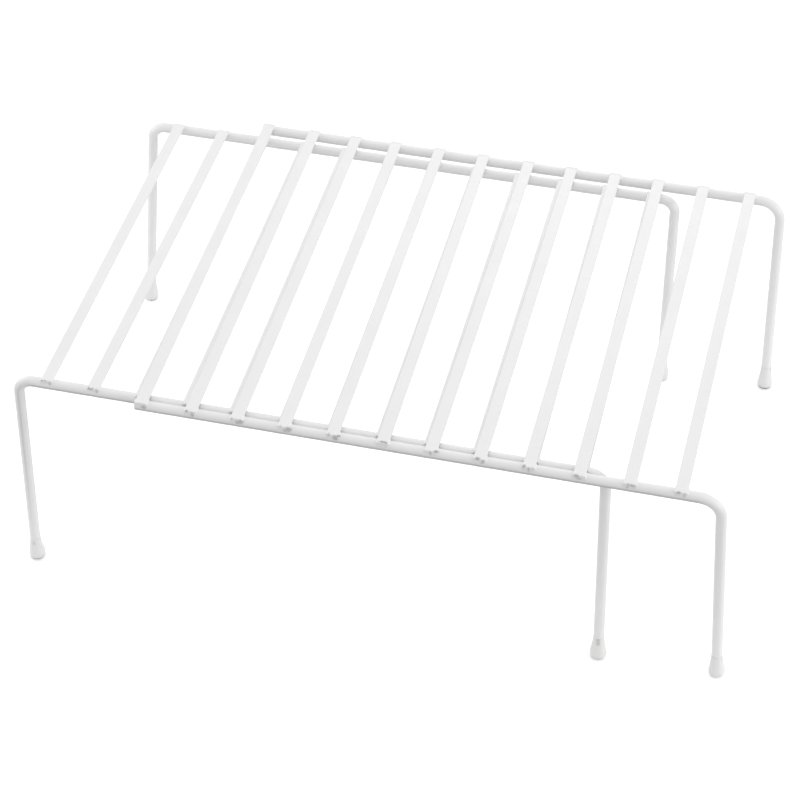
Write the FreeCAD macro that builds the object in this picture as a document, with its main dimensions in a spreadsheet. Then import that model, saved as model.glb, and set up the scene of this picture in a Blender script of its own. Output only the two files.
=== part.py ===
import FreeCAD, Part
import math
import os
import sys

import Sketcher

# Expandable cabinet shelf riser: two nested welded steel frames, each a front and a rear bent
# wire under a row of flat slats, standing on six moulded vinyl foot caps. The extension frame
# rests over the base frame and slides along +X. Millimetres, +Z up, origin on the floor under
# the middle of the riser as it stands, pulled out by two slat pitches.

Vector = FreeCAD.Vector
X_AXIS = Vector(1, 0, 0)
Z_AXIS = Vector(0, 0, 1)

SLATS_PER_FRAME = 12
PULLED_OUT_PITCHES = 2

# Driving dimensions: (alias, value, what it is).
DIMENSIONS = [
    ("slat_pitch", 25.4, "spacing of the slats along X"),
    ("slat_width", 6.4, "strip width with its coating"),
    ("slat_thickness", 1.3, "strip thickness with its coating"),
    ("slat_corner_radius", 1.1, "plan radius of a slat's four corners"),
    ("slat_edge_radius", 0.4, "rounding along the top and bottom of the strip"),
    ("slat_sink", 0.25, "how far a welded slat sits into the top of a wire"),
    ("deck_clearance", 0.25, "gap between the two layers of slats"),
    ("wire_radius", 2.85, "bent wire with its coating"),
    ("rail_height", 131.6, "axis of the base rails above the floor"),
    ("base_depth", 228.3, "base rail to base rail, axis to axis"),
    ("front_nesting", 5.85, "extension front rail ahead of the base front rail"),
    ("rear_nesting", 9.5, "extension rear rail behind the base rear rail"),
    ("extension_shift", 1.5, "extension slats past whole pitches of the base"),
    ("base_bend_radius", 8.5, "wire axis at the base corners"),
    ("extension_bend_radius", 12.5, "wire axis at the extension corners"),
    ("left_leg_reach", 16.9, "first base slat back to the left leg corner"),
    ("inner_leg_reach", 12.9, "last base slat out to the inner leg corner"),
    ("outer_leg_reach", 19.0, "last extension slat out to the outer leg corner"),
    ("wire_end_reach", 3.3, "extension wire past its first slat, at the cut end"),
    ("base_front_overhang", 1.9, "base slat past the front rail axis"),
    ("base_rear_overhang", 0.4, "base slat past the rear rail axis"),
    ("extension_front_overhang", 2.6, "extension slat past the front rail axis"),
    ("extension_rear_overhang", 1.1, "extension slat past the rear rail axis"),
    ("cap_floor", 3.2, "vinyl under the end of the wire"),
    ("cap_squash", 0.2, "vinyl pressed flat where a cap meets the floor"),
    ("cap_bore_depth", 12.4, "how far a leg pushes into its cap"),
    ("cap_lip", 0.4, "wall of a cap at its mouth"),
    ("cap_radius", 4.3, "widest radius of a cap"),
    ("cap_bulge_height", 3.2, "cap bottom up to the widest ring"),
    ("cap_sole_radius", 1.9, "flat underside of a cap"),
    ("trim_side", 30.0, "slab under the floor that trims a cap flat: its sides"),
    ("trim_depth", 10.0, "the same slab: its thickness"),
    ("centre_x", 165.8, "first base slat to the middle of the riser"),
    ("centre_y", 116.0, "base front rail to the middle of the riser"),
]

# Each wire is bent flat, then leans a little as a whole. Angles in degrees: how far each leg
# splays outward along X, and how far the legs tip outward from under the rail.
# (name, frame, side, left splay, right splay, tip); a None is an end without a leg.
WIRES = [
    ("base_front_wire", "base", "front", 1.5, 1.5, 0.5),
    ("base_rear_wire", "base", "rear", 4.5, 0.6, -1.0),
    ("extension_front_wire", "extension", "front", None, 3.5, -3.0),
    ("extension_rear_wire", "extension", "rear", None, 2.0, -2.0),
]

# Where each slat is welded, as its drift from a true pitch at the front and rear rails.
BASE_DRIFT = [
    (-0.5, -0.5), (-0.5, 1.0), (0, 0.5), (0, 0.5), (-0.5, -0.5), (0.5, 0.5),
    (0.5, 0.5), (0.5, 0.5), (0, 0), (-0.5, -0.5), (1.0, 0), (1.0, 0),
]
EXTENSION_DRIFT = [
    (0.5, -1.0), (1.5, 1.0), (0.5, 0.5), (0, -1.0), (0, -0.5), (0.5, 0),
    (0, 1.0), (-0.5, 0.5), (-1.0, 0.5), (-1.0, 0), (-1.0, 0), (-1.0, 1.0),
]

doc = FreeCAD.newDocument("tiered_shelf_riser")


# ------------------------------------------------------------------ driving sheet

def fill_sheet():
    """Writes every driving dimension into its own aliased cell."""
    sheet = doc.addObject("Spreadsheet::Sheet", "sheet")
    rows = [(alias, value, note) for alias, value, note in DIMENSIONS]
    for name, _, _, left_splay, right_splay, tip in WIRES:
        if left_splay is not None:
            rows.append((name + "_left_splay", left_splay, "degrees"))
        rows.append((name + "_right_splay", right_splay, "degrees"))
        rows.append((name + "_tip", tip, "degrees"))
    for frame, drifts in (("base", BASE_DRIFT), ("extension", EXTENSION_DRIFT)):
        for number, (front, rear) in enumerate(drifts, start=1):
            rows.append((f"{frame}_front_drift_{number:02d}", front, "slat weld drift"))
            rows.append((f"{frame}_rear_drift_{number:02d}", rear, "slat weld drift"))
    for row, (alias, value, note) in enumerate(rows, start=1):
        sheet.set(f"A{row}", alias.replace("_", " "))
        sheet.set(f"B{row}", str(value))
        sheet.setAlias(f"B{row}", alias)
        sheet.set(f"C{row}", note)
    doc.recompute()
    return sheet


sheet = fill_sheet()


def size(alias):
    """One driving dimension, read back from the sheet."""
    return float(getattr(sheet, alias))


def named_plane(body, role):
    """One of the body's own origin planes."""
    return next(plane for plane in body.Origin.OriginFeatures if plane.Role == role)


def new_body(label):
    body = doc.addObject("PartDesign::Body", label)
    body.Label = label
    return body


def new_sketch(body, name, role):
    sketch = body.newObject("Sketcher::SketchObject", name)
    sketch.AttachmentSupport = [(named_plane(body, role), "")]
    sketch.MapMode = "FlatFace"
    return sketch


def bind(sketch, constraint, name, expression):
    """Adds a dimensional constraint and ties it to the sheet."""
    index = sketch.addConstraint(constraint)
    sketch.renameConstraint(index, name)
    sketch.setExpression("Constraints." + name, expression)


# ------------------------------------------------------------------ where things stand

# Expressions for the rails of each frame, in the riser's own frame.
RAIL_Y = {
    ("base", "front"): "-sheet.centre_y",
    ("base", "rear"): "sheet.base_depth - sheet.centre_y",
    ("extension", "front"): "-sheet.centre_y - sheet.front_nesting",
    ("extension", "rear"): "sheet.base_depth - sheet.centre_y + sheet.rear_nesting",
}
RAIL_Z = {
    "base": "sheet.rail_height",
    "extension": "sheet.rail_height + sheet.slat_thickness + sheet.deck_clearance",
}
FIRST_SLAT_X = {
    "base": "-sheet.centre_x",
    "extension": f"-sheet.centre_x + {PULLED_OUT_PITCHES} * sheet.slat_pitch"
                 " + sheet.extension_shift",
}


# ------------------------------------------------------------------ bent wires

# Rail length each side of the wire body's origin, which is on the rail at the first slat.
LAST_SLAT = f"{SLATS_PER_FRAME - 1} * sheet.slat_pitch"
LEG_CORNER = {
    ("base", "left"): "sheet.left_leg_reach",
    ("base", "right"): f"{LAST_SLAT} + sheet.inner_leg_reach",
    ("extension", "right"): f"{LAST_SLAT} + sheet.outer_leg_reach",
}


def leg_drop(wire, frame):
    """Expression: rail axis down to the end of a leg, in the tipped plane of the wire."""
    rail = RAIL_Z[frame]
    return f"({rail} - sheet.cap_floor + sheet.cap_squash) / cos(sheet.{wire}_tip * 1deg)"


def leg_reach(wire, frame, hand):
    """Expression: rail under the first slat out to the end of a leg."""
    drop = leg_drop(wire, frame)
    return f"{LEG_CORNER[(frame, hand)]} + ({drop}) * tan(sheet.{wire}_{hand}_splay * 1deg)"


def corner_distance(frame, hand):
    """Rail under the first slat out to where the rail and leg axes would meet."""
    if hand == "left":
        return size("left_leg_reach")
    beyond = size("inner_leg_reach") if frame == "base" else size("outer_leg_reach")
    return (SLATS_PER_FRAME - 1) * size("slat_pitch") + beyond


def leg_path(body, wire, frame, hand):
    """Half a wire's axis: along the rail, round the bend and down the splayed leg."""
    outward = 1 if hand == "right" else -1
    lean = math.radians(size(f"{wire}_{hand}_splay"))
    bend = size(f"{frame}_bend_radius")
    corner = corner_distance(frame, hand)
    drop = size("rail_height")
    tangent = bend * math.tan((math.pi / 2 - lean) / 2)
    rail_end = Vector(outward * (corner - tangent), 0, 0)
    leg_top = Vector(outward * (corner + tangent * math.sin(lean)),
                     -tangent * math.cos(lean), 0)
    leg_end = Vector(outward * (corner + drop * math.tan(lean)), -drop, 0)
    if hand == "right":
        start_angle, end_angle = lean, math.pi / 2
        rail_side, leg_side = 2, 1
    else:
        start_angle, end_angle = math.pi / 2, math.pi - lean
        rail_side, leg_side = 1, 2

    path = new_sketch(body, f"{body.Name}_{hand}_path", "XZ_Plane")
    rail = path.addGeometry(Part.LineSegment(Vector(0, 0, 0), rail_end))
    circle = Part.Circle(rail_end - Vector(0, bend, 0), Z_AXIS, bend)
    arc = path.addGeometry(Part.ArcOfCircle(circle, start_angle, end_angle))
    leg = path.addGeometry(Part.LineSegment(leg_top, leg_end))
    path.addConstraint(Sketcher.Constraint("Coincident", rail, 1, -1, 1))
    path.addConstraint(Sketcher.Constraint("Horizontal", rail))
    path.addConstraint(Sketcher.Constraint("Tangent", rail, 2, arc, rail_side))
    path.addConstraint(Sketcher.Constraint("Tangent", arc, leg_side, leg, 1))
    bind(path, Sketcher.Constraint("Radius", arc, bend), "bend", f"sheet.{frame}_bend_radius")
    bind(path, Sketcher.Constraint("DistanceY", leg, 2, -1, 1, drop), "drop",
         leg_drop(wire, frame))
    leg_foot, origin = (leg, 2), (-1, 1)
    near, far = (origin, leg_foot) if hand == "right" else (leg_foot, origin)
    bind(path, Sketcher.Constraint("DistanceX", *near, *far, abs(leg_end.x)), "reach",
         leg_reach(wire, frame, hand))
    sign = "" if hand == "right" else "-"
    bind(path, Sketcher.Constraint("Angle", leg, outward * lean - math.pi / 2), "slope",
         f"{sign}sheet.{wire}_{hand}_splay * 1deg - 90deg")
    return path


def stub_path(body):
    """The left half of an extension wire: straight to its cut end, with no leg."""
    path = new_sketch(body, f"{body.Name}_left_path", "XZ_Plane")
    line = path.addGeometry(
        Part.LineSegment(Vector(0, 0, 0), Vector(-size("wire_end_reach"), 0, 0)))
    path.addConstraint(Sketcher.Constraint("Coincident", line, 1, -1, 1))
    path.addConstraint(Sketcher.Constraint("Horizontal", line))
    bind(path, Sketcher.Constraint("DistanceX", line, 2, -1, 1, size("wire_end_reach")),
         "reach", "sheet.wire_end_reach")
    return path


def wire_section(body, hand):
    """The round section of the wire, across the rail at its origin."""
    section = new_sketch(body, f"{body.Name}_{hand}_section", "YZ_Plane")
    circle = section.addGeometry(Part.Circle(Vector(0, 0, 0), Z_AXIS, size("wire_radius")))
    section.addConstraint(Sketcher.Constraint("Coincident", circle, 3, -1, 1))
    bind(section, Sketcher.Constraint("Radius", circle, size("wire_radius")), "wire",
         "sheet.wire_radius")
    return section


def bent_wire(name, frame, side):
    """One wire of a frame, swept both ways from the rail under the first slat."""
    body = new_body(name)
    for hand in ("left", "right"):
        if (frame, hand) in LEG_CORNER:
            path = leg_path(body, name, frame, hand)
            edges = ["Edge1", "Edge2", "Edge3"]
        else:
            path = stub_path(body)
            edges = ["Edge1"]
        pipe = body.newObject("PartDesign::AdditivePipe", f"{name}_{hand}_half")
        pipe.Profile = wire_section(body, hand)
        pipe.Spine = (path, edges)
    tip_sign = "-" if side == "front" else ""
    body.Placement = FreeCAD.Placement(Vector(0, 0, 0), FreeCAD.Rotation(X_AXIS, 1))
    body.setExpression("Placement.Base.x", FIRST_SLAT_X[frame])
    body.setExpression("Placement.Base.y", RAIL_Y[(frame, side)])
    body.setExpression("Placement.Base.z", RAIL_Z[frame])
    body.setExpression("Placement.Rotation.Angle", f"{tip_sign}sheet.{name}_tip * 1deg")
    return body


# ------------------------------------------------------------------ slats

def slat(frame, number):
    """A flat strip with rounded corners and edges, notched where it sits on the two wires."""
    label = f"{frame}_slat_{number:02d}"
    front_over = f"sheet.{frame}_front_overhang"
    rear_over = f"sheet.{frame}_rear_overhang"
    span = f"({RAIL_Y[(frame, 'rear')]} - ({RAIL_Y[(frame, 'front')]}))"
    body = new_body(label)
    outline = new_sketch(body, label + "_outline", "XY_Plane")
    half = size("slat_width") / 2
    length = size("base_depth")
    corners = [Vector(-half, 0, 0), Vector(half, 0, 0), Vector(half, length, 0),
               Vector(-half, length, 0)]
    for index, corner in enumerate(corners):
        outline.addGeometry(Part.LineSegment(corner, corners[(index + 1) % 4]))
    for index in range(4):
        outline.addConstraint(
            Sketcher.Constraint("Coincident", index, 2, (index + 1) % 4, 1))
    for index, direction in enumerate(("Horizontal", "Vertical", "Horizontal", "Vertical")):
        outline.addConstraint(Sketcher.Constraint(direction, index))
    bind(outline, Sketcher.Constraint("DistanceX", 0, 1, 0, 2, 2 * half), "width",
         "sheet.slat_width")
    bind(outline, Sketcher.Constraint("DistanceX", 0, 1, -1, 1, half), "half_width",
         "sheet.slat_width / 2")
    bind(outline, Sketcher.Constraint("DistanceY", 1, 1, 1, 2, length), "length",
         f"{span} + {front_over} + {rear_over}")
    bind(outline, Sketcher.Constraint("DistanceY", 0, 1, -1, 1, half), "front_end", front_over)
    strip = body.newObject("PartDesign::Pad", label + "_strip")
    strip.Profile = outline
    strip.setExpression("Length", "sheet.slat_thickness")
    doc.recompute()

    corners_round = body.newObject("PartDesign::Fillet", label + "_corners")
    uprights = [f"Edge{n}" for n, edge in enumerate(strip.Shape.Edges, start=1)
                if abs(edge.Vertexes[0].Z - edge.Vertexes[1].Z) > size("slat_thickness") / 2]
    corners_round.Base = (strip, uprights)
    corners_round.setExpression("Radius", "sheet.slat_corner_radius")
    doc.recompute()

    edges_round = body.newObject("PartDesign::Fillet", label + "_edges")
    rims = [f"Edge{n}" for n, edge in enumerate(corners_round.Shape.Edges, start=1)
            if abs(edge.Vertexes[0].Z - edge.Vertexes[-1].Z) < size("slat_thickness") / 2]
    edges_round.Base = (corners_round, rims)
    edges_round.setExpression("Radius", "sheet.slat_edge_radius")
    doc.recompute()

    before = edges_round.Shape.Volume
    seats = new_sketch(body, label + "_seats", "YZ_Plane")
    wire = size("wire_radius")
    for side, seat_y in (("front", 0), ("rear", length)):
        circle = seats.addGeometry(Part.Circle(Vector(seat_y, -wire, 0), Z_AXIS, wire))
        bind(seats, Sketcher.Constraint("Radius", circle, wire), f"{side}_seat",
             "sheet.wire_radius")
        bind(seats, Sketcher.Constraint("DistanceY", circle, 3, -1, 1, wire),
             f"{side}_seat_drop", "sheet.wire_radius - sheet.slat_sink")
        if side == "front":
            seats.addConstraint(Sketcher.Constraint("PointOnObject", circle, 3, -2))
        else:
            bind(seats, Sketcher.Constraint("DistanceX", -1, 1, circle, 3, length),
                 "rear_seat_span", span)
    notch = body.newObject("PartDesign::Pocket", label + "_notches")
    notch.Profile = seats
    notch.Type = "ThroughAll"
    notch.SideType = "Symmetric"
    doc.recompute()
    if not notch.Shape.Volume < before:
        raise SystemExit(f"{label}: the wire seats removed nothing")

    drift = (f"(sheet.{frame}_rear_drift_{number:02d}"
             f" - sheet.{frame}_front_drift_{number:02d})")
    body.Placement = FreeCAD.Placement(Vector(0, 0, 0), FreeCAD.Rotation(Z_AXIS, 1))
    body.setExpression("Placement.Base.x",
                       f"{FIRST_SLAT_X[frame]} + {number - 1} * sheet.slat_pitch"
                       f" + sheet.{frame}_front_drift_{number:02d}")
    body.setExpression("Placement.Base.y", RAIL_Y[(frame, "front")])
    body.setExpression("Placement.Base.z",
                       f"{RAIL_Z[frame]} + sheet.wire_radius - sheet.slat_sink")
    body.setExpression("Placement.Rotation.Angle", f"-atan({drift} / {span})")
    return body


# ------------------------------------------------------------------ foot caps

def arc_to_ring(corner, ring):
    """Radius of the arc from a corner that meets the cap's widest ring upright."""
    across = ring.x - corner.x
    along = ring.y - corner.y
    return (across ** 2 + along ** 2) / (2 * across)


def cap_profile(body):
    """Half the section of a cap: bell outside, blind bore inside, origin at the wire's end."""
    wire = size("wire_radius")
    sole = Vector(0, -size("cap_floor"), 0)
    toe = sole + Vector(size("cap_sole_radius"), 0, 0)
    ring = sole + Vector(size("cap_radius"), size("cap_bulge_height"), 0)
    lip = Vector(wire + size("cap_lip"), size("cap_bore_depth"), 0)
    mouth = Vector(wire, lip.y, 0)
    bore_end = Vector(wire, 0, 0)
    centre = Vector(0, 0, 0)

    def upright_arc(corner):
        """The arc that leaves the widest ring upright and ends on a corner."""
        radius = arc_to_ring(corner, ring)
        hub = ring - Vector(radius, 0, 0)
        turn = math.atan2(corner.y - hub.y, corner.x - hub.x)
        return Part.ArcOfCircle(Part.Circle(hub, Z_AXIS, radius), min(turn, 0), max(turn, 0))

    profile = new_sketch(body, body.Name + "_profile", "XZ_Plane")
    under = profile.addGeometry(Part.LineSegment(sole, toe))
    toe_arc = profile.addGeometry(upright_arc(toe))
    side_arc = profile.addGeometry(upright_arc(lip))
    rim = profile.addGeometry(Part.LineSegment(lip, mouth))
    bore = profile.addGeometry(Part.LineSegment(mouth, bore_end))
    seat = profile.addGeometry(Part.LineSegment(bore_end, centre))
    axis = profile.addGeometry(Part.LineSegment(centre, sole))
    joins = [(under, 2, toe_arc, 1), (toe_arc, 2, side_arc, 1), (side_arc, 2, rim, 1),
             (rim, 2, bore, 1), (bore, 2, seat, 1), (seat, 2, axis, 1), (axis, 2, under, 1),
             (seat, 2, -1, 1)]
    for join in joins:
        profile.addConstraint(Sketcher.Constraint("Coincident", *join))
    for line in (under, rim, seat):
        profile.addConstraint(Sketcher.Constraint("Horizontal", line))
    for line in (bore, axis):
        profile.addConstraint(Sketcher.Constraint("Vertical", line))
    for arc in (toe_arc, side_arc):
        profile.addConstraint(Sketcher.Constraint("Horizontal", arc, 3, toe_arc, 2))
    bind(profile, Sketcher.Constraint("DistanceY", axis, 2, -1, 1, -sole.y), "floor",
         "sheet.cap_floor")
    bind(profile, Sketcher.Constraint("DistanceX", -1, 1, under, 2, toe.x), "sole_radius",
         "sheet.cap_sole_radius")
    bind(profile, Sketcher.Constraint("DistanceX", -1, 1, toe_arc, 2, ring.x), "widest",
         "sheet.cap_radius")
    bind(profile, Sketcher.Constraint("DistanceY", under, 2, toe_arc, 2, ring.y - sole.y),
         "bulge", "sheet.cap_bulge_height")
    bind(profile, Sketcher.Constraint("DistanceX", -1, 1, rim, 1, lip.x), "lip",
         "sheet.wire_radius + sheet.cap_lip")
    bind(profile, Sketcher.Constraint("DistanceY", -1, 1, rim, 1, lip.y), "bore_depth",
         "sheet.cap_bore_depth")
    bind(profile, Sketcher.Constraint("DistanceX", -1, 1, bore, 1, wire), "bore_radius",
         "sheet.wire_radius")
    return profile


def foot_cap(label, wire_body, frame, hand):
    """A vinyl cap on the end of one leg, square to the leg and pressed flat on the floor."""
    body = new_body(label + "_moulding")
    profile = cap_profile(body)
    turned = body.newObject("PartDesign::Revolution", label + "_turned")
    turned.Profile = profile
    turned.ReferenceAxis = (profile, ["V_Axis"])
    turned.Angle = 360
    leg_end_x = leg_reach(wire_body.Name, frame, hand)
    x_sign = "-" if hand == "left" else ""
    lean_sign = "" if hand == "left" else "-"
    leg_end = (f"create(<<vector>>; {x_sign}({leg_end_x}); 0;"
               f" -({leg_drop(wire_body.Name, frame)}))")
    lean = (f"create(<<rotation>>; create(<<vector>>; 0; 1; 0);"
            f" {lean_sign}sheet.{wire_body.Name}_{hand}_splay)")
    body.setExpression("Placement", f"{wire_body.Name}.Placement"
                                    f" * create(<<placement>>; {leg_end}; {lean})")
    floor = doc.addObject("Part::Box", label + "_floor")
    for side in ("Length", "Width"):
        floor.setExpression(side, "sheet.trim_side")
    floor.setExpression("Height", "sheet.trim_depth")
    for axis in ("x", "y"):
        floor.setExpression(f"Placement.Base.{axis}",
                            f"{body.Name}.Placement.Base.{axis} - sheet.trim_side * 0.5mm")
    floor.setExpression("Placement.Base.z", "-sheet.trim_depth * 1mm")
    cap = doc.addObject("Part::Cut", label)
    cap.Label = label
    cap.Base = body
    cap.Tool = floor
    return cap


# ------------------------------------------------------------------ the riser

parts = []
wires = {}
for name, frame, side, _, _, _ in WIRES:
    wires[(frame, side)] = bent_wire(name, frame, side)
    parts.append(wires[(frame, side)])
for frame in ("base", "extension"):
    for number in range(1, SLATS_PER_FRAME + 1):
        parts.append(slat(frame, number))
for frame, side, hand in (("base", "front", "left"), ("base", "rear", "left"),
                          ("base", "front", "right"), ("base", "rear", "right"),
                          ("extension", "front", "right"), ("extension", "rear", "right")):
    place = f"{side}_{hand}" if frame == "base" else side
    parts.append(foot_cap(f"{frame}_foot_cap_{place}", wires[(frame, side)], frame, hand))
doc.recompute()


# ------------------------------------------------------------------ checks and files

for item in doc.Objects:
    if {"Invalid", "Error"} & set(item.State):
        sys.exit(f"{item.Name} did not recompute: {item.State}")
for part in parts:
    if part.Shape.isNull() or not part.Shape.isValid() or len(part.Shape.Solids) != 1:
        sys.exit(f"{part.Label} is not one valid solid")

os.makedirs("parts", exist_ok=True)
for part in parts:
    part.Shape.exportStep(f"parts/{part.Label}.step")

whole = Part.makeCompound([part.Shape for part in parts]).optimalBoundingBox(False)
print(f"{len(parts)} parts, box x {whole.XMin:.2f} {whole.XMax:.2f},"
      f" y {whole.YMin:.2f} {whole.YMax:.2f}, z {whole.ZMin:.2f} {whole.ZMax:.2f}")
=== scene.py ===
import math
import random

import bmesh
import bpy
import numpy as np
from mathutils import Matrix, Vector


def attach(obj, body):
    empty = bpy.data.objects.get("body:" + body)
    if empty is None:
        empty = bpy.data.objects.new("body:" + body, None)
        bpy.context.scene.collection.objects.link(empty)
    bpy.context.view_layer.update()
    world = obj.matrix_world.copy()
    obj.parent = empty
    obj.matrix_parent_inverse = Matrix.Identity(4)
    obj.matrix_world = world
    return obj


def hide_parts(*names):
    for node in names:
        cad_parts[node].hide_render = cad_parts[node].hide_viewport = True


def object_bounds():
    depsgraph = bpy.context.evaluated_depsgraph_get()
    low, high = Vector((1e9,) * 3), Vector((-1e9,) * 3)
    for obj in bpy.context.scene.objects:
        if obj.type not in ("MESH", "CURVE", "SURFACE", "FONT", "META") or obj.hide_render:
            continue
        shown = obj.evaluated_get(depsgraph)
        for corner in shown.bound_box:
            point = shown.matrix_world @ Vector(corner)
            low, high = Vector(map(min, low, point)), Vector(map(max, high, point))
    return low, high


# Expandable shelf riser: white coated bent wires, flat slats and moulded vinyl foot caps.
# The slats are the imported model's own. The wires and caps are rebuilt here in finer detail on the
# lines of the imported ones, and every slat gets the welds and coating that join it to its wires.

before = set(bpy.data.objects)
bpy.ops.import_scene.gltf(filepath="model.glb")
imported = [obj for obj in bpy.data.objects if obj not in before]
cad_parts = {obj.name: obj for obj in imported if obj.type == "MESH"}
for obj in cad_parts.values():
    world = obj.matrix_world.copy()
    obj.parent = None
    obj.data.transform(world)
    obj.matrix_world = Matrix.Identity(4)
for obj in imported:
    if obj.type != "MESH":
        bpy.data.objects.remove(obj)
cad_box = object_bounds()

MM = 0.001
FRAMES = ("base", "extension")
SIDES = ("front", "rear")
SLATS_PER_FRAME = 12
LEAST_BEND_STEPS = 8
# Just behind a slat's rounded end, between these depths, it has its full width.
FULL_WIDTH_FROM = 0.9 * MM
FULL_WIDTH_TO = 1.6 * MM


# ------------------------------------------------------------------ reading the frame

def node_points(node):
    """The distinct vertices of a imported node, one row each."""
    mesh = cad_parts[node].data
    points = np.zeros(len(mesh.vertices) * 3)
    mesh.vertices.foreach_get("co", points)
    return np.unique(points.reshape(-1, 3).round(7), axis=0)


def leg_end(points, hand):
    """Centre of the flat end of a leg, and the leg's direction upwards."""
    on_side = points[points[:, 0] * hand > 0]
    ring = on_side[on_side[:, 2] < on_side[:, 2].min() + 1 * MM]
    centre = ring.mean(axis=0)
    upward = np.linalg.svd(ring - centre)[2][2]
    return centre, upward * np.sign(upward[2])


class WireLine:
    """The axis of one bent wire: its rail, and a bend and a leg at one or both ends."""

    def __init__(self, frame_name, side):
        self.node = f"{frame_name}_{side}_wire"
        self.outward = Vector((0, -1 if side == "front" else 1, 0))
        points = node_points(self.node)
        places, counts = np.unique(points[:, 0].round(5), return_counts=True)
        self.rail_ends = sorted(places[np.argsort(counts)[-2:]])
        ring = points[np.abs(points[:, 0] - self.rail_ends[1]) < 0.01 * MM]
        self.y, self.z = ring[:, 1:].mean(axis=0)
        self.radius = np.linalg.norm(ring[:, 1:] - (self.y, self.z), axis=1).mean()
        self.hands = (-1, 1) if frame_name == "base" else (1,)
        self.legs = {}
        for hand in self.hands:
            end, upward = leg_end(points, hand)
            corner_x = end[0] + upward[0] * (self.z - end[2]) / upward[2]
            tangent_x = self.rail_ends[0] if hand < 0 else self.rail_ends[1]
            turn = math.acos(max(-1.0, min(1.0, -hand * upward[0])))
            bend = abs(corner_x - tangent_x) / math.tan(turn / 2)
            self.legs[hand] = {"end": Vector(end), "up": Vector(upward), "turn": turn,
                               "bend": bend, "tangent_x": tangent_x}

    def leg_path(self, hand, step):
        """Points from the rail's end round the bend to the foot, with their directions."""
        leg = self.legs[hand]
        start = Vector((leg["tangent_x"], self.y, self.z))
        along = Vector((hand, 0, 0))
        down = -leg["up"]
        inward = (down - along * down.dot(along)).normalized()
        centre = start + inward * leg["bend"]
        steps = max(LEAST_BEND_STEPS, round(leg["bend"] * leg["turn"] / step))
        path = []
        for index in range(1, steps + 1):
            angle = leg["turn"] * index / steps
            point = centre - inward * leg["bend"] * math.cos(angle)
            point += along * leg["bend"] * math.sin(angle)
            direction = along * math.cos(angle) + inward * math.sin(angle)
            path.append((point, direction))
        last = path[-1][0]
        length = (leg["end"] - last).length
        straight = round(length / (4 * step))
        for index in range(1, straight + 1):
            path.append((last.lerp(leg["end"], index / straight), down.copy()))
        return path


class SlatLine:
    """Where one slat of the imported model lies: its ends, middle line and faces."""

    def __init__(self, frame_name, number):
        self.node = f"{frame_name}_slat_{number:02d}"
        points = node_points(self.node)
        self.low, self.high = points.min(axis=0), points.max(axis=0)
        self.half_width = 0.0
        middles = []
        for edge, inward in ((self.low[1], 1), (self.high[1], -1)):
            depth = (points[:, 1] - edge) * inward
            band = points[(depth > FULL_WIDTH_FROM) & (depth < FULL_WIDTH_TO)]
            middles.append((band[:, 0].min() + band[:, 0].max()) / 2)
            self.half_width = (band[:, 0].max() - band[:, 0].min()) / 2
        self.front_x, self.rear_x = middles

    def x_at(self, y):
        share = (y - self.low[1]) / (self.high[1] - self.low[1])
        return self.front_x + (self.rear_x - self.front_x) * share


WIRE = {(name, side): WireLine(name, side) for name in FRAMES for side in SIDES}
SLAT = {(name, number): SlatLine(name, number)
        for name in FRAMES for number in range(1, SLATS_PER_FRAME + 1)}


# ------------------------------------------------------------------ materials

def shader_tree(name):
    """A new material's node tree with its Principled shader, and a helper that adds nodes."""
    material = bpy.data.materials.new(name)
    material.use_nodes = True
    tree = material.node_tree
    shader = tree.nodes["Principled BSDF"]

    def add(kind, **settings):
        node = tree.nodes.new(kind)
        for key, value in settings.items():
            if hasattr(node, key):
                setattr(node, key, value)
            else:
                node.inputs[key].default_value = value
        return node

    return material, tree, shader, add


def noise(tree, add, scale, detail=2.0, roughness=0.5):
    """A noise texture in the piece's own coordinates, scale per metre."""
    place = tree.nodes.get("Place")
    if place is None:
        place = add("ShaderNodeTexCoord", name="Place")
    texture = add("ShaderNodeTexNoise", Scale=scale, Detail=detail, Roughness=roughness)
    tree.links.new(place.outputs["Object"], texture.inputs["Vector"])
    return texture


def ramp(tree, add, source, low, high, out_low, out_high):
    """Maps one range of a texture's output to another."""
    node = add("ShaderNodeMapRange")
    for socket, value in (("From Min", low), ("From Max", high),
                          ("To Min", out_low), ("To Max", out_high)):
        node.inputs[socket].default_value = value
    tree.links.new(source, node.inputs["Value"])
    return node.outputs["Result"]


def spread(tree, add, texture, out_low, out_high):
    """Maps most of a noise texture's values to a range."""
    return ramp(tree, add, texture.outputs["Fac"], 0.3, 0.7, out_low, out_high)


def mix_colour(tree, add, factor, first, second):
    node = add("ShaderNodeMix", data_type="RGBA")
    node.inputs["A"].default_value = (*first, 1)
    node.inputs["B"].default_value = (*second, 1)
    tree.links.new(factor, node.inputs["Factor"])
    return node.outputs["Result"]


def add_bump(tree, add, height, distance, strength, below=None):
    node = add("ShaderNodeBump", Strength=strength, Distance=distance)
    tree.links.new(height, node.inputs["Height"])
    if below is not None:
        tree.links.new(below, node.inputs["Normal"])
    return node.outputs["Normal"]


def cloudy(tree, add, colour, scale, detail, share):
    """A colour that drifts in soft clouds between itself and a darker share of itself."""
    cloud = noise(tree, add, scale, detail=detail)
    tone = spread(tree, add, cloud, 0.0, 1.0)
    return mix_colour(tree, add, tone, colour, tuple(channel * share for channel in colour))


# The greys that the vertex grey draws towards: on the coating, for weld marks and painted shade; on the
# caps, for painted shade and a painted contact shadow.
COAT_MARK_AND_SHADE_COLOUR = (0.35, 0.35, 0.35)
CAP_SHADE_COLOUR = (0.26, 0.26, 0.26)


def greyed(tree, add, base, grey):
    """The base colour, drawn towards a grey by the piece's vertex attribute of weld marks and painted
    shade.
    """
    grey_and_shade = add("ShaderNodeAttribute", attribute_name="grey_and_shade")
    marked_and_shaded = mix_colour(tree, add, grey_and_shade.outputs["Fac"], grey, grey)
    tree.links.new(base, marked_and_shaded.node.inputs["A"])
    return marked_and_shaded


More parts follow.
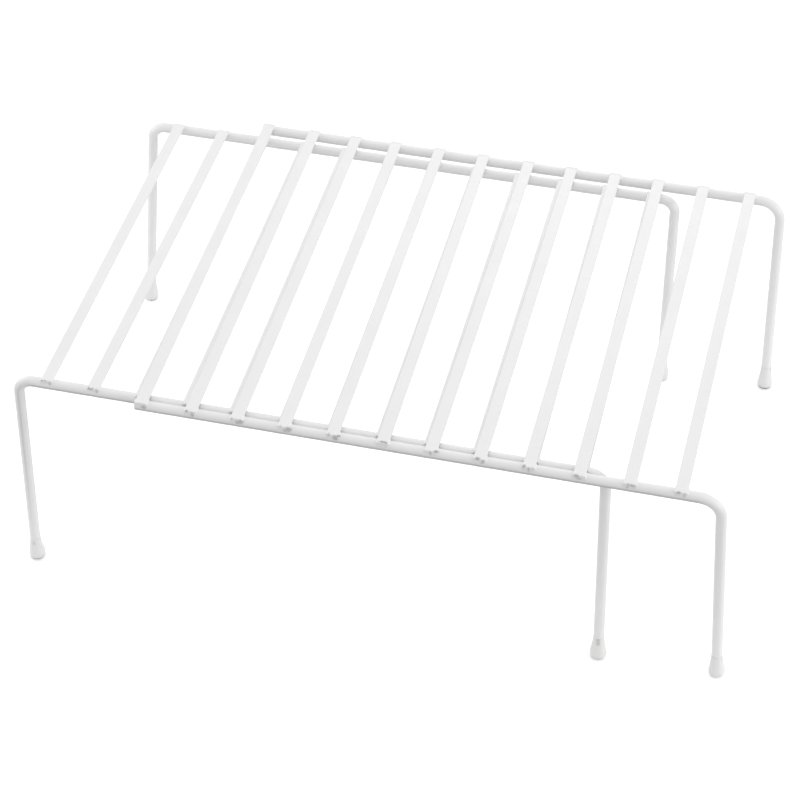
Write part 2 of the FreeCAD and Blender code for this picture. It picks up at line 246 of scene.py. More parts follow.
def coating(name, colour, roughness, peel):
    """Baked-on white coating: cloudy tone, orange peel, dust nibs and an uneven gloss, greyed
    at the weld marks and where painted shade is drawn in."""
    material, tree, shader, add = shader_tree(name)
    base = cloudy(tree, add, colour, 45, 3.0, 0.975)
    # Painted shade: the vertex grey draws the coat towards grey under the wires, down the front left leg
    # and at the weld marks.
    tree.links.new(greyed(tree, add, base, COAT_MARK_AND_SHADE_COLOUR), shader.inputs["Base Color"])
    film = noise(tree, add, 260, detail=2.0)
    gloss = spread(tree, add, film, roughness - 0.05, roughness + 0.06)
    tree.links.new(gloss, shader.inputs["Roughness"])
    orange_peel = noise(tree, add, 850, detail=1.5, roughness=0.4)
    flow = noise(tree, add, 170, detail=1.0)
    nibs = noise(tree, add, 1300, detail=0.0)
    nib_height = ramp(tree, add, nibs.outputs["Fac"], 0.74, 0.82, 0.0, 1.0)
    normal = add_bump(tree, add, flow.outputs["Fac"], 0.10 * MM, 0.5)
    normal = add_bump(tree, add, orange_peel.outputs["Fac"], 0.03 * MM, peel, normal)
    normal = add_bump(tree, add, nib_height, 0.03 * MM, 0.6, normal)
    tree.links.new(normal, shader.inputs["Normal"])
    shader.inputs["Specular IOR Level"].default_value = 0.5
    return material


def vinyl(name, colour):
    """Soft white moulded vinyl: waxy, with a fine matt grain."""
    material, tree, shader, add = shader_tree(name)
    base = cloudy(tree, add, colour, 120, 2.0, 0.97)
    # Painted shade: the vertex grey darkens the caps' slots and paints a contact shadow round their soles.
    tree.links.new(greyed(tree, add, base, CAP_SHADE_COLOUR), shader.inputs["Base Color"])
    grain = noise(tree, add, 2600, detail=2.0)
    ripple = noise(tree, add, 420, detail=1.0)
    gloss = spread(tree, add, ripple, 0.44, 0.56)
    tree.links.new(gloss, shader.inputs["Roughness"])
    normal = add_bump(tree, add, ripple.outputs["Fac"], 0.08 * MM, 0.5)
    normal = add_bump(tree, add, grain.outputs["Fac"], 0.015 * MM, 0.5, normal)
    tree.links.new(normal, shader.inputs["Normal"])
    return material


WIRE_COAT = coating("coated_wire_white", (0.80, 0.80, 0.80), 0.34, 0.6)
SLAT_COAT = coating("coated_slat_white", (0.80, 0.80, 0.80), 0.38, 0.45)
CAP_VINYL = vinyl("foot_vinyl_white", (0.78, 0.78, 0.775))

for line in SLAT.values():
    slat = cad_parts[line.node]
    slat.data.materials.clear()
    slat.data.materials.append(SLAT_COAT)


# ------------------------------------------------------------------ making pieces

def new_piece(name, vertices, faces, material, body, grey_and_shade):
    """A smooth-shaded mesh that rides on a body. Its last argument says how grey it is at each vertex, for
    weld marks and painted shade.
    """
    mesh = bpy.data.meshes.new(name)
    mesh.from_pydata([tuple(v) for v in vertices], [], [tuple(f) for f in faces])
    attribute = mesh.attributes.new("grey_and_shade", "FLOAT", "POINT")
    attribute.data.foreach_set("value", np.asarray(grey_and_shade, np.float32))
    cleaned = bmesh.new()
    cleaned.from_mesh(mesh)
    bmesh.ops.recalc_face_normals(cleaned, faces=cleaned.faces)
    cleaned.to_mesh(mesh)
    cleaned.free()
    mesh.shade_smooth()
    mesh.materials.append(material)
    piece = bpy.data.objects.new(name, mesh)
    bpy.context.scene.collection.objects.link(piece)
    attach(piece, body)
    return piece


def bridge_rings(rings, count):
    """Quads between neighbouring rings of vertices, and a fan that closes each end. The two tips
    of the fans are the vertices after the last ring."""
    faces = []
    for ring in range(rings - 1):
        for index in range(count):
            following = (index + 1) % count
            faces.append((ring * count + index, ring * count + following,
                          (ring + 1) * count + following, (ring + 1) * count + index))
    last = (rings - 1) * count
    tip = rings * count
    faces += [(tip, (index + 1) % count, index) for index in range(count)]
    faces += [(tip + 1, last + index, last + (index + 1) % count) for index in range(count)]
    return faces


# ------------------------------------------------------------------ welds: what shows at each

# A mark wraps over the top of a slat's end: a millimetre further back counts as WRAP higher up.
WRAP = 0.92
MARK_REACH = 2.2 * MM
# How far a mark's outline wanders sideways and up and down.
MARK_SHIFT = 0.12 * MM
MARK_SAG = 0.10 * MM
WELD_SEED = 7
# The grey marks along the front, as (across, up, half width, half height, how strong): weld marks
# # dented into the wire, greyed partly as real weld marks and partly as painted shade in the gap under
# # each slat's end. Across is from the slat's middle towards +X, up is from the wire's axis, all in mm.
FRONT_MARKS = {
    ("base", 1): [(-2.1, 3.4, 0.5, 0.5, 0.9), (-0.8, 3.9, 0.5, 0.4, 0.8), (0.1, 3.7, 0.35, 0.6, 0.5),
                  (1.9, 1.9, 0.6, 1.3, 0.5)],
    ("base", 2): [(-2.4, 4.0, 0.3, 1.2, 0.8), (-1.3, 3.1, 1.3, 0.42, 1.0), (-0.3, 3.9, 0.3, 1.0, 0.7),
                  (2.0, 1.9, 0.6, 1.3, 0.5)],
    ("extension", 1): [(1.5, 1.2, 1.5, 1.4, 0.6)],
    ("extension", 2): [(-1.7, 3.8, 0.65, 0.8, 1.0), (1.1, 1.5, 0.9, 1.8, 0.55)],
    ("extension", 3): [(-2.2, 3.7, 0.35, 0.9, 0.6), (0.7, 1.5, 1.3, 1.2, 0.62), (2.4, 2.2, 1.3, 1.7, 0.6)],
    ("extension", 4): [(-1.5, 3.9, 0.6, 0.9, 0.4), (0.9, 1.4, 1.5, 1.2, 0.5), (2.7, 2.6, 1.5, 1.9, 0.65)],
    ("extension", 5): [(-1.7, 3.8, 0.8, 1.1, 0.5), (1.6, 2.0, 1.5, 1.9, 0.6), (3.2, 3.7, 0.75, 0.8, 0.9)],
    ("extension", 6): [(0.3, 4.7, 2.3, 0.7, 1.0), (1.8, 4.3, 0.9, 0.6, 0.9)],
    ("extension", 7): [(-0.1, 2.6, 0.65, 1.7, 0.5), (2.8, 4.1, 1.2, 1.0, 0.95)],
    ("extension", 8): [(-0.9, 4.1, 1.35, 1.1, 0.9), (1.8, 2.6, 0.8, 1.2, 0.55), (1.2, 1.4, 1.1, 0.4, 0.4)],
    ("extension", 9): [(-2.4, 4.2, 0.9, 1.1, 0.9), (0.1, 2.4, 0.75, 1.6, 0.5), (2.0, 3.7, 0.8, 0.8, 0.25)],
    ("extension", 10): [(-1.4, 3.6, 1.4, 1.2, 0.7), (-0.2, 1.9, 1.6, 0.9, 0.45)],
    ("extension", 11): [(-0.8, 3.2, 0.6, 1.2, 0.5), (1.2, 3.0, 1.5, 1.1, 0.5), (-1.3, 1.4, 0.7, 1.0, 0.4)],
    ("extension", 12): [(-1.3, 3.5, 1.1, 1.1, 0.7), (1.6, 2.2, 0.6, 1.7, 0.35)],
}


def plain_marks(draw, top):
    """One or two marks by a seeded draw, for a weld that has none in the list above."""
    marks = []
    for _ in range(draw.choice((1, 2))):
        marks.append((draw.uniform(-2.4, 2.4), top / MM - draw.uniform(0.6, 2.0),
                      draw.uniform(0.4, 1.2), draw.uniform(0.4, 0.9), draw.uniform(0.15, 0.4)))
    return marks


class Weld:
    """One crossing of a slat and a wire, in a local frame: across X, out past the rail, up."""

    def __init__(self, frame_name, number, side, draw):
        self.wire = WIRE[(frame_name, side)]
        self.slat = SLAT[(frame_name, number)]
        self.x = self.slat.x_at(self.wire.y)
        end_y = self.slat.low[1] if side == "front" else self.slat.high[1]
        self.overhang = (end_y - self.wire.y) * self.wire.outward.y
        self.under = self.slat.low[2] - self.wire.z
        self.top = self.slat.high[2] - self.wire.z
        drawn = plain_marks(draw, self.top)
        self.marks = FRONT_MARKS.get((frame_name, number), drawn) if side == "front" else drawn

    def mark(self, across, out, up):
        """How strongly a place on the weld or the wire's outer side is marked, 0 to 1."""
        shift = MARK_SHIFT * np.sin(up * 4100 + self.x * 83)
        sag = MARK_SAG * np.sin(across * 3700 + self.x * 57)
        strongest = 0.0
        for middle, height, half_width, half_height, strength in self.marks:
            aside = (across + shift - middle * MM) / (half_width * MM)
            above = (up + WRAP * (self.overhang - out) + sag - height * MM) / (half_height * MM)
            strongest = np.maximum(strongest, strength * np.exp(-(aside ** 2 + above ** 2) ** 2))
        return strongest * (out > self.overhang - MARK_REACH)


draw = random.Random(WELD_SEED)
WELDS = {}
for frame_name in FRAMES:
    for side in SIDES:
        WELDS[(frame_name, side)] = [Weld(frame_name, number, side, draw)
                                     for number in range(1, SLATS_PER_FRAME + 1)]


# ------------------------------------------------------------------ bent wires

WIRE_SIDES = 48
NEAR_WELD = 5.0 * MM
FINE_STEP = 0.35 * MM
COARSE_STEP = 2.4 * MM
LEG_STEP = COARSE_STEP / 3
END_ROUNDING = 0.55 * MM
END_STEPS = 5
COAT_INSET = 0.02 * MM
COAT_SWAY = 0.03 * MM
MARK_DEPTH = 0.14 * MM
# How grey a full weld mark is drawn: partly real weld marks, partly painted shade under the slats' ends.
MARK_AND_SHADE_GREY = 1.0
# Painted shade: the lower side of a level wire is drawn grey, standing in for the shade it lies in.
UNDERSIDE_START = 0.25
UNDERSIDE_FADE = 0.55
UNDERSIDE_SHADE_GREY = {"front": 0.75, "rear": 0.28}
# A grey band of painted dark reflection runs down the front left leg. Its heading and half width are in
# degrees, and the
# # heading is from +X towards +Y.
STREAK_HEADING = -86
STREAK_HALF_WIDTH = 13
STREAK_LENGTH = 92 * MM
DARK_REFLECTION_GREY = 0.38


def rail_stations(line, welds):
    """Where to cut the rail into rings: close together at the welds, wide between them."""
    stations = [line.rail_ends[0]]
    while stations[-1] < line.rail_ends[1] - 0.1 * MM:
        x = stations[-1]
        distance = min(abs(x - weld.x) for weld in welds)
        step = FINE_STEP if distance < NEAR_WELD else min(COARSE_STEP, distance - NEAR_WELD + FINE_STEP)
        stations.append(min(x + step, line.rail_ends[1]))
    return stations


def sway(point, seed):
    """Small unevenness of a coating, in metres."""
    return COAT_SWAY * (math.sin(point.x * 411 + seed) * math.sin(point.z * 377 + 1.3 * seed)
                       + 0.6 * math.sin((point.x + point.z) * 903 + 2 * seed))


def painted_underside_shade(slope, steepness):
    """How much painted shade a wire gets where it faces down (slope -1) rather than up (1). It fades to
    nothing as the wire stands up on end (steepness -1 or 1)."""
    share = max(0.0, min(1.0, (UNDERSIDE_START - slope) / UNDERSIDE_FADE))
    return (1 - abs(steepness)) ** 2 * share * share * (3 - 2 * share)


def wire_piece(frame_name, side, seed):
    """One bent wire, as rings along its axis."""
    line = WIRE[(frame_name, side)]
    welds = WELDS[(frame_name, side)]
    underside_shade_grey = UNDERSIDE_SHADE_GREY[side]
    # Only the base front wire carries the painted dark reflection, down its left leg.
    has_dark_reflection = line.node == "base_front_wire"
    path = []
    if -1 in line.hands:
        left_leg = line.leg_path(-1, LEG_STEP)
        path += [(point, -direction) for point, direction in reversed(left_leg)]
    along = Vector((1, 0, 0))
    path += [(Vector((x, line.y, line.z)), along) for x in rail_stations(line, welds)]
    path += line.leg_path(1, LEG_STEP)
    plane = line.legs[1]["up"].cross(along).normalized()

    vertices = []
    grey_and_shade = []

    def add_ring(centre, direction, shape_of):
        side_way = plane.cross(direction).normalized()
        for index in range(WIRE_SIDES):
            angle = 2 * math.pi * index / WIRE_SIDES
            radial = side_way * math.cos(angle) + plane * math.sin(angle)
            radius, greyness = shape_of(radial)
            vertices.append(centre + radial * radius)
            grey_and_shade.append(greyness)

    def painted_dark_reflection(point, direction, radial):
        """How grey the painted dark reflection is down the front of the left leg."""
        heading = math.degrees(math.atan2(radial.y, radial.x))
        across = (heading - STREAK_HEADING) / STREAK_HALF_WIDTH
        down = (line.z - point.z) / STREAK_LENGTH
        return DARK_REFLECTION_GREY * direction.z ** 2 * math.exp(-across ** 2 - down ** 4)

    def body_shape(point, direction):
        nearest = min(welds, key=lambda weld: abs(weld.x - point.x))
        on_rail = point.z > line.z - 0.1 * MM and abs(nearest.x - point.x) < NEAR_WELD
        even = line.radius + sway(point, seed) - COAT_INSET

        def shape_of(radial):
            if not on_rail:
                # The painted dark reflection down the front left leg.
                dark_reflection = painted_dark_reflection(point, direction, radial) if has_dark_reflection and point.x < 0 else 0.0
                # The greyer of the painted underside shade and the painted dark reflection.
                return even, max(dark_reflection, underside_shade_grey * painted_underside_shade(radial.z, direction.z))
            out, up = radial.dot(line.outward) * even, radial.z * even
            mark = nearest.mark(point.x - nearest.x, out, up)
            # Painted underside shade, where it is greyer than the weld mark.
            below = underside_shade_grey * painted_underside_shade(radial.z, direction.z)
            return even - MARK_DEPTH * mark, max(MARK_AND_SHADE_GREY * mark, below)

        return shape_of

    def add_end(centre, direction, first):
        """Rounded edge of a cut end: the coating draws back a little from the rim."""
        turns = [math.pi / 2 * step / END_STEPS for step in range(END_STEPS + 1)]
        if first:
            turns.reverse()
        for turn in turns:
            inset = END_ROUNDING * (1 - math.cos(turn))
            back = END_ROUNDING * (1 - math.sin(turn))
            way = 1 if first else -1
            add_ring(centre + direction * way * back, direction,
                     lambda radial, inset=inset: (line.radius - inset, 0.0))

    add_end(path[0][0], path[0][1], True)
    for point, direction in path:
        if (point - path[0][0]).length > END_ROUNDING and (point - path[-1][0]).length > END_ROUNDING:
            add_ring(point, direction, body_shape(point, direction))
    add_end(path[-1][0], path[-1][1], False)
    faces = bridge_rings(len(vertices) // WIRE_SIDES, WIRE_SIDES)
    vertices += [path[0][0], path[-1][0]]
    grey_and_shade += [0.0, 0.0]
    piece = new_piece(f"{frame_name}_{side}_coated_wire", vertices, faces, WIRE_COAT, frame_name,
                      grey_and_shade)
    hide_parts(line.node)


for seed, (frame_name, side) in enumerate(WIRE, start=1):
    wire_piece(frame_name, side, seed)


# ------------------------------------------------------------------ weld and coating fillets

CELL = 0.19 * MM
# Radii over which the slat blends into the wire, and the squeezed metal into both.
BLEND = 1.15 * MM
SQUEEZE_BLEND = 0.5 * MM
# The weld stops where it is thinner than FEATHER, and goes ROOT deep into the slat and the wire.
FEATHER = 0.022 * MM
ROOT = 0.32 * MM
# How deep a mark is in the squeezed metal: under the slat, and over it.
PIT_DEPTH = 0.45 * MM
SCORE_DEPTH = 0.06 * MM
PIT_DROP = 0.1 * MM
PIT_EDGE = 0.12 * MM
RIPPLE_HEIGHT = 0.05 * MM
RIPPLE_START = 0.1 * MM
# How far the sampled block goes past the slat's sides and end, behind and below the wire's axis,
# and over the slat.
GRID_SIDE = 2.4 * MM
GRID_BACK = 3.4 * MM
GRID_BELOW = 2.6 * MM
GRID_OUT = 1.8 * MM
GRID_ABOVE = 0.6 * MM
LEAST_OUT = 2.0 * MM


def smooth_union(first, second, blend):
    """Joins two distance fields with a rounded inside corner."""
    near = np.maximum(blend - np.abs(first - second), 0) / blend
    return np.minimum(first, second) - near * near * blend / 4


def rounded_box(beyond, edge):
    """Distance to a box with rounded edges, from how far a place is beyond each pair of sides
    when they are drawn in by the edges' radius."""
    outside = np.sqrt(sum(np.maximum(side, 0) ** 2 for side in beyond))
    inside = np.minimum(np.maximum(np.maximum(beyond[0], beyond[1]), beyond[2]), 0)
    return outside + inside - edge


def slat_field(weld, across, out, up):
    """Distance to the slat's end: a strip with rounded edges that stops past the rail."""
    edge = 0.4 * MM
    middle_up = (weld.under + weld.top) / 2
    beyond = [np.abs(across) - (weld.slat.half_width - edge), out - (weld.overhang - edge),
              np.abs(up - middle_up) - ((weld.top - weld.under) / 2 - edge)]
    return rounded_box(beyond, edge)


def squeezed_field(weld, across, out, up):
    """Distance to the metal squeezed out under the slat's end and the coating drawn over it."""
    edge = 0.45 * MM
    cover = 0.13 * MM
    low, high = 0.35 * weld.wire.radius, weld.top + 0.05 * MM
    middle_up = (low + high) / 2
    beyond = [np.abs(across) - (weld.slat.half_width + 0.02 * MM - edge),
              np.abs(out - weld.overhang / 2) - (weld.overhang / 2 + cover - edge),
              np.abs(up - middle_up) - ((high - low) / 2 - edge)]
    return rounded_box(beyond, edge)


def weld_field(weld, across, out, up):
    """Negative inside the weld metal and coating that fill the joint, and nowhere else."""
    mark = weld.mark(across, out, up)
    wire = np.sqrt(out ** 2 + up ** 2) - weld.wire.radius + MARK_DEPTH * mark
    strip = slat_field(weld, across, out, up)
    bare = np.minimum(wire, strip)
    below = 1 / (1 + np.exp((up - weld.under + PIT_DROP) / PIT_EDGE))
    dent = mark * (SCORE_DEPTH + (PIT_DEPTH - SCORE_DEPTH) * below)
    squeezed = squeezed_field(weld, across, out, up) + dent
    joined = smooth_union(smooth_union(wire, strip, BLEND), squeezed, SQUEEZE_BLEND)
    ripple = RIPPLE_HEIGHT * (np.sin(across * 2900 + weld.x * 91) * np.sin(up * 2300 + 1)
                              + 0.5 * np.sin(across * 5300) * np.sin(out * 4100 + weld.x * 70))
    thickness = np.clip((bare - joined) / RIPPLE_START, 0, 1)
    joined = np.where(bare > 0, joined + ripple * thickness, joined)
    return np.maximum(np.maximum(joined, FEATHER - (bare - joined)), -bare - ROOT)


def surface_net(field, low, cell):
    """Quads on the zero level of a sampled field, with one vertex in each cell it crosses."""
    inside = field < 0
    shape = tuple(n - 1 for n in field.shape)
    total = np.zeros(shape + (3,))
    hits = np.zeros(shape)
    index = np.stack(np.meshgrid(*[np.arange(n) for n in field.shape], indexing="ij"), axis=-1)
    crossed = {}
    for axis in range(3):
        first = [slice(None)] * 3
        second = [slice(None)] * 3
        first[axis] = slice(None, -1)
        second[axis] = slice(1, None)
        start, end = field[tuple(first)], field[tuple(second)]
        cut = inside[tuple(first)] != inside[tuple(second)]
        share = np.where(cut, start / np.where(cut, start - end, 1), 0)
        point = index[tuple(first)].astype(float)
        point[..., axis] += share
        crossed[axis] = cut
        others = [a for a in range(3) if a != axis]
        for shift_a in (0, 1):
            for shift_b in (0, 1):
                edge = [slice(None)] * 3
                for other, shift in zip(others, (shift_a, shift_b)):
                    edge[other] = slice(1, None) if shift else slice(None, -1)
                picked = cut[tuple(edge)]
                total += np.where(picked[..., None], point[tuple(edge)], 0)
                hits += picked
    used = hits > 0
    number = np.full(shape, -1)
    number[used] = np.arange(used.sum())
    vertices = np.asarray(low) + cell * total[used] / hits[used][:, None]
    faces = []
    for axis in range(3):
        others = [a for a in range(3) if a != axis]
        where = np.argwhere(crossed[axis])
        keep = np.all([(where[:, a] > 0) & (where[:, a] < shape[a]) for a in others], axis=0)
        where = where[keep]
        corners = []
        for shift_a, shift_b in ((1, 1), (0, 1), (0, 0), (1, 0)):
            cell_at = where.copy()
            cell_at[:, others[0]] -= shift_a
            cell_at[:, others[1]] -= shift_b
            corners.append(number[tuple(cell_at.T)])
        faces.append(np.stack(corners, axis=1))
    return vertices, np.concatenate(faces)


def weld_mesh(weld):
    """Vertices and faces of one weld, in the riser's frame."""
    reach = weld.slat.half_width + GRID_SIDE
    low = np.array([-reach, -GRID_BACK, -GRID_BELOW])
    high = np.array([reach, max(weld.overhang, LEAST_OUT) + GRID_OUT, weld.top + GRID_ABOVE])
    counts = np.ceil((high - low) / CELL).astype(int) + 1
    grid = np.meshgrid(*[low[a] + CELL * np.arange(counts[a]) for a in range(3)], indexing="ij")
    vertices, faces = surface_net(weld_field(weld, *grid), low, CELL)
    outward = weld.wire.outward.y
    placed = np.stack([weld.x + vertices[:, 0], weld.wire.y + outward * vertices[:, 1],
                       weld.wire.z + vertices[:, 2]], axis=1)
    # The weld marks' grey, partly painted shade, goes with the mesh.
    return placed, faces, MARK_AND_SHADE_GREY * weld.mark(*vertices.T)


for (frame_name, side), welds in WELDS.items():
    vertices, faces, grey_and_shade = [], [], []
    count = 0
    for weld in welds:
        points, quads, greyness = weld_mesh(weld)
        vertices.append(points)
        faces.append(quads + count)
        grey_and_shade.append(greyness)
        count += len(points)
    new_piece(f"{frame_name}_{side}_welds", np.concatenate(vertices),
              np.concatenate(faces).tolist(), WIRE_COAT, frame_name,
              np.concatenate(grey_and_shade))


# ------------------------------------------------------------------ foot caps

CAP_SIDES = 96
CAP_RINGS = 60
CAP_FLOOR = 3.2 * MM
CAP_BORE_DEPTH = 12.4 * MM
CAP_HEIGHT = CAP_FLOOR + CAP_BORE_DEPTH
# The bore is this much tighter than the leg, and a slot's floor this far out from it.
BORE_GRIP = 0.05 * MM
SLOT_FLOOR = 0.05 * MM
# How softly a slot's long sides and its ends (in mm) and the painted contact shadow's upper limit fade.
SLOT_SIDE_FADE = 0.07
SLOT_END_FADE = 0.12
CONTACT_SHADE_FADE = 0.14 * MM
# How dark the painted contact shadow is at the middle of the sole.
SOLE_SHADE_GREY = 0.8
# The bulb takes up this share of the cap's height.
BULB_SHARE = 0.62
# The two mould seams stand this high and are this wide, in radians. WOBBLE is how uneven the wall is.
SEAM_HEIGHT = 0.05 * MM
SEAM_WIDTH = 0.035
WOBBLE = 0.05 * MM
# Half the outline of a cap: height above the sole and radius, in mm.
CAP_OUTLINE = [(0.0, 2.3), (0.12, 2.85), (0.5, 3.4), (1.3, 3.95), (2.4, 4.25), (3.6, 4.3),
               (5.4, 4.1), (7.8, 3.72), (10.4, 3.32), (13.2, 3.02), (15.6, 2.93)]
# Each cap's slot: its direction (degrees from +X towards +Y), lower and upper end and half width
# # in mm, and how grey its painted shade is; how far the bulb stands off the leg's axis towards +X and +Y,
# # in mm; and how high the painted contact shadow goes round its sole. A slot that ends above the mouth is
# a notch in it.
CAP_LOOKS = {
    "base_foot_cap_front_left": (-88, 11.4, 14.2, 0.95, 0.22, 0.45, 0.0, 1.5),
    "base_foot_cap_rear_left": (-95, 11.0, 14.6, 1.0, 0.3, 0.0, 0.1, 1.0),
    "base_foot_cap_front_right": (-88, 11.0, 16.6, 1.0, 0.36, -0.1, 0.0, 0.9),
    "base_foot_cap_rear_right": (-20, 11.4, 14.4, 1.0, 0.3, 0.15, 0.0, 0.9),
    "extension_foot_cap_front": (-22, 11.6, 16.4, 0.95, 0.1, 0.15, -0.05, 0.3),
    "extension_foot_cap_rear": (-15, 12.4, 16.4, 0.8, 0.35, 0.05, 0.0, 1.7),
}


def smooth_outline(points, share):
    """A point at a share of the way along a smooth curve through some points (Catmull-Rom)."""
    place = share * (len(points) - 1)
    index = min(int(place), len(points) - 2)
    t = place - index
    before, start = points[max(index - 1, 0)], points[index]
    end, after = points[index + 1], points[min(index + 2, len(points) - 1)]
    return tuple(0.5 * (2 * b + (c - a) * t + (2 * a - 5 * b + 4 * c - d) * t * t
                        + (3 * b - a - 3 * c + d) * t ** 3)
                 for a, b, c, d in zip(before, start, end, after))


def soft_step(value, edge):
    """0 well below zero, 1 well above it."""
    return 1 / (1 + math.exp(-max(-40.0, min(40.0, value / edge))))


def foot_cap(node, body, leg, wire_radius):
    """A moulded cap pushed on a leg: pear outside, slot in its wall, flat sole; painted shade in the slot
    and a painted contact shadow round the sole.
    """
    facing, slot_low, slot_high, slot_half, slot_shade_grey, aside, back, contact_shade_height = CAP_LOOKS[node]
    up = leg["up"]
    sole = leg["end"] - up * CAP_FLOOR
    forward = up.cross(Vector((1, 0, 0))).cross(up).normalized()
    side_way = forward.cross(up)
    heading = Vector((math.cos(math.radians(facing)), math.sin(math.radians(facing)), 0))
    slot_angle = math.atan2(heading.dot(side_way), heading.dot(forward))
    bore = wire_radius - BORE_GRIP
    vertices, grey_and_shade = [], []

    def add_ring(level, radius_at):
        """A ring of the cap's wall at a height above its sole."""
        swell = math.sin(min(1.0, level / (BULB_SHARE * CAP_HEIGHT)) * math.pi)
        offset = Vector((aside, back, 0)) * MM * max(0.0, swell)
        for index in range(CAP_SIDES):
            angle = 2 * math.pi * index / CAP_SIDES
            turn = (angle - slot_angle + math.pi) % (2 * math.pi) - math.pi
            radius, slotted, outside = radius_at(angle, turn)
            centre = sole + up * level + offset * (1 - slotted) * outside
            point = centre + (forward * math.cos(angle) + side_way * math.sin(angle)) * radius
            point.z = max(point.z, 0.0)
            vertices.append(point)
            # Painted contact shadow round the sole, and painted shade in the slot.
            contact_shade = soft_step(contact_shade_height * MM - point.z, CONTACT_SHADE_FADE)
            grey_and_shade.append(max(slot_shade_grey * slotted, contact_shade))

    def outer(level, radius):
        """The outside of the wall at one height: radius, how far into the slot, and 1 for outside."""
        def radius_at(angle, turn):
            across = turn * radius / MM
            slotted = (soft_step(slot_half - abs(across), SLOT_SIDE_FADE)
                       * soft_step(level / MM - slot_low, SLOT_END_FADE)
                       * soft_step(slot_high - level / MM, SLOT_END_FADE))
            seam = SEAM_HEIGHT * math.exp(-((abs(turn) - math.pi / 2) / SEAM_WIDTH) ** 2)
            wobble = WOBBLE * math.sin(2 * angle + facing) * math.sin(level * 500)
            full = radius + seam + wobble
            return full + (wire_radius + SLOT_FLOOR - full) * slotted, slotted, 1
        return radius_at

    for step in range(CAP_RINGS + 1):
        level, radius = smooth_outline(CAP_OUTLINE, step / CAP_RINGS)
        add_ring(level * MM, outer(level * MM, radius * MM))
    for level in (CAP_HEIGHT - 0.1 * MM, CAP_HEIGHT - 1 * MM, CAP_FLOOR + 4 * MM, CAP_FLOOR):
        add_ring(level, lambda angle, turn: (bore, 0, 0))
    faces = bridge_rings(len(vertices) // CAP_SIDES, CAP_SIDES)
    vertices += [Vector((sole.x, sole.y, max(sole.z, 0.0))), leg["end"]]
    # The middle of the sole gets the darkest painted contact shadow.
    grey_and_shade += [SOLE_SHADE_GREY, 0.0]
    piece = new_piece(f"{node}_moulded", vertices, faces, CAP_VINYL, body, grey_and_shade)
    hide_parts(node)


for node in sorted(CAP_LOOKS):
    body = node.split("_")[0]
    side = "front" if "front" in node else "rear"
    hand = -1 if node.endswith("left") else 1
    line = WIRE[(body, side)]
    foot_cap(node, body, line.legs[hand], line.radius)


# ------------------------------------------------------------------ studio and camera

FLOOR_HALF = 6.0
FLOOR_WHITE = 0.90
FLOOR_GLOW = 0.25
BOUNCE_WHITE = 0.86
# How far the bounce sheet lies under the floor, and goes past the riser to the left and front,
# and to the right and rear, in metres.
BOUNCE_DROP = 0.4 * MM
BOUNCE_LEFT, BOUNCE_FRONT = 0.17, 0.12
BOUNCE_RIGHT, BOUNCE_REAR = 0.22, 0.37


def paper(name, white, glow):
    """Dull white paper that may glow a little by itself."""
    material, tree, shader, add = shader_tree(name)
    colour = cloudy(tree, add, (white,) * 3, 3, 1.0, 0.99)
    tree.links.new(colour, shader.inputs["Base Color"])
    shader.inputs["Roughness"].default_value = 0.9
    shader.inputs["Specular IOR Level"].default_value = 0.1
    shader.inputs["Emission Color"].default_value = (1, 1, 1, 1)
    shader.inputs["Emission Strength"].default_value = glow
    return material


def level_sheet(name, low, high, z, material):
    mesh = bpy.data.meshes.new(name)
    corners = [(low[0], low[1], z), (high[0], low[1], z), (high[0], high[1], z), (low[0], high[1], z)]
    mesh.from_pydata(corners, [], [(0, 1, 2, 3)])
    mesh.materials.append(material)
    sheet = bpy.data.objects.new(name, mesh)
    bpy.context.scene.collection.objects.link(sheet)
    return sheet


def make_floor():
    """The white floor that shows, and a white sheet under it that lights the shelf from below."""
    floor = level_sheet("floor", (-FLOOR_HALF, -FLOOR_HALF), (FLOOR_HALF, FLOOR_HALF), 0,
                        paper("studio_floor", FLOOR_WHITE, FLOOR_GLOW))
    floor.visible_diffuse = False
    floor.visible_glossy = False
    floor.visible_shadow = False
    low, high = cad_box
    bounce = level_sheet("bounce_sheet", (low[0] - BOUNCE_LEFT, low[1] - BOUNCE_FRONT),
                         (high[0] + BOUNCE_RIGHT, high[1] + BOUNCE_REAR), -BOUNCE_DROP,
                         paper("bounce_paper", BOUNCE_WHITE, 0))
    bounce.visible_camera = False


# How bright the surroundings are: all round, more of it upwards, and more of it to the rear.
WORLD_EVEN = 0.61
WORLD_UPWARD = 0.38
WORLD_REARWARD = 0.04


def make_world():
    """Soft white surroundings that brighten steadily from below to overhead, and a little to the
    rear."""
    world = bpy.data.worlds.new("studio")
    world.use_nodes = True
    bpy.context.scene.world = world
    tree = world.node_tree
    tree.nodes.clear()
    place = tree.nodes.new("ShaderNodeTexCoord")
    slope = tree.nodes.new("ShaderNodeVectorMath")
    slope.operation = "DOT_PRODUCT"
    slope.inputs[1].default_value = (0, WORLD_REARWARD, WORLD_UPWARD)
    strength = tree.nodes.new("ShaderNodeMath")
    strength.operation = "ADD"
    strength.inputs[1].default_value = WORLD_EVEN
    background = tree.nodes.new("ShaderNodeBackground")
    background.inputs["Color"].default_value = (1, 1, 1, 1)
    output = tree.nodes.new("ShaderNodeOutputWorld")
    tree.links.new(place.outputs["Generated"], slope.inputs[0])
    tree.links.new(slope.outputs["Value"], strength.inputs[0])
    tree.links.new(strength.outputs["Value"], background.inputs["Strength"])
    tree.links.new(background.outputs["Background"], output.inputs["Surface"])


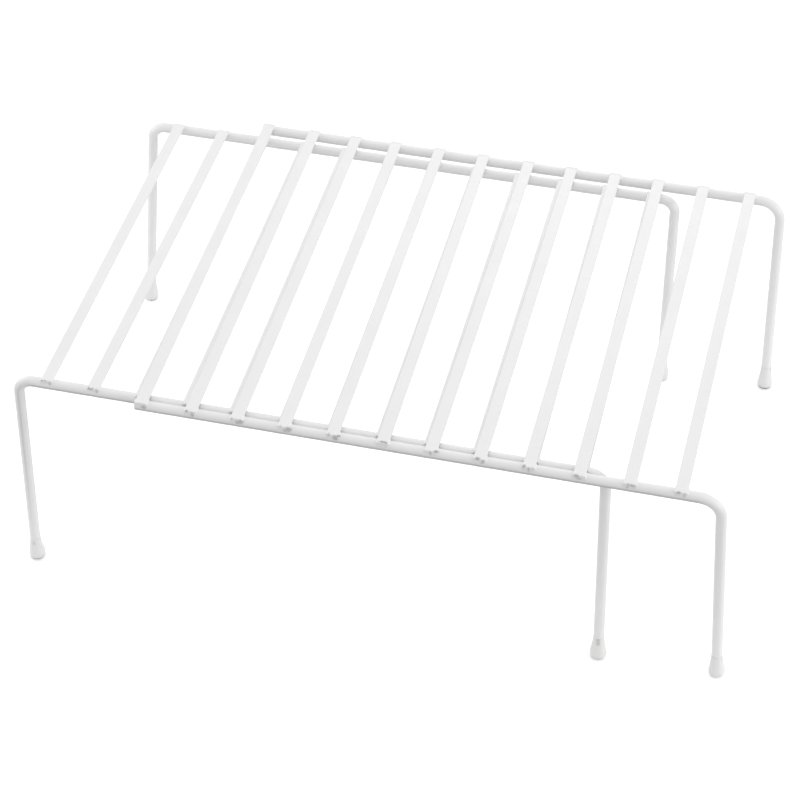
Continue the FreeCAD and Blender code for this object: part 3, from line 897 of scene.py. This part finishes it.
# Each light's name, where it stands and points, its width and depth, and its power in watts.
MIDDLE = (0, 0, 0.08)
LIGHTS = [
    ("right_box", (1.55, 0.15, 0.45), (0.2, 0, 0.07), 0.8, 0.6, 4.8),
    ("left_box", (-0.62, 0.05, 0.25), (-0.2, 0, 0.07), 0.35, 0.3, 0.7),
    ("right_front_box", (1.4, -0.8, 0.3), MIDDLE, 0.6, 0.6, 3.2),
    ("left_front_box", (-1.3, -1.0, 0.3), MIDDLE, 0.6, 0.6, 2.1),
    ("rear_box", (0.0, 1.0, 0.6), MIDDLE, 0.5, 0.5, 1.8),
    ("top_box", (0, 0.1, 1.2), MIDDLE, 0.5, 0.5, 0.6),
]


def soft_light(name, place, target, width, depth, watts):
    light = bpy.data.lights.new(name, "AREA")
    light.shape = "RECTANGLE"
    light.size = width
    light.size_y = depth
    light.energy = watts
    lamp = bpy.data.objects.new(name, light)
    lamp.location = place
    lamp.rotation_euler = (Vector(target) - Vector(place)).to_track_quat("-Z", "Y").to_euler()
    lamp.visible_camera = False
    bpy.context.scene.collection.objects.link(lamp)


CAMERA_PLACE = (0.22618, -0.96573, 0.96224)
CAMERA_TURN = math.radians(13.788)
CAMERA_PITCH = math.radians(42.51)
CAMERA_ROLL = math.radians(-0.217)
CAMERA_LENS = 107.59
CAMERA_SHIFT = (0.0088, -0.0013)


def make_camera():
    data = bpy.data.cameras.new("camera")
    data.sensor_width = 36
    data.lens = CAMERA_LENS
    data.shift_x, data.shift_y = CAMERA_SHIFT
    data.clip_start, data.clip_end = 0.05, 50
    camera = bpy.data.objects.new("camera", data)
    turn = Matrix.Rotation(CAMERA_TURN, 4, "Z")
    pitch = Matrix.Rotation(math.pi / 2 - CAMERA_PITCH, 4, "X")
    roll = Matrix.Rotation(CAMERA_ROLL, 4, "Z")
    camera.matrix_world = Matrix.Translation(CAMERA_PLACE) @ turn @ pitch @ roll
    bpy.context.scene.collection.objects.link(camera)
    bpy.context.scene.camera = camera


make_floor()
make_world()
for light in LIGHTS:
    soft_light(*light)
make_camera()
bpy.context.scene.view_settings.view_transform = "Standard"
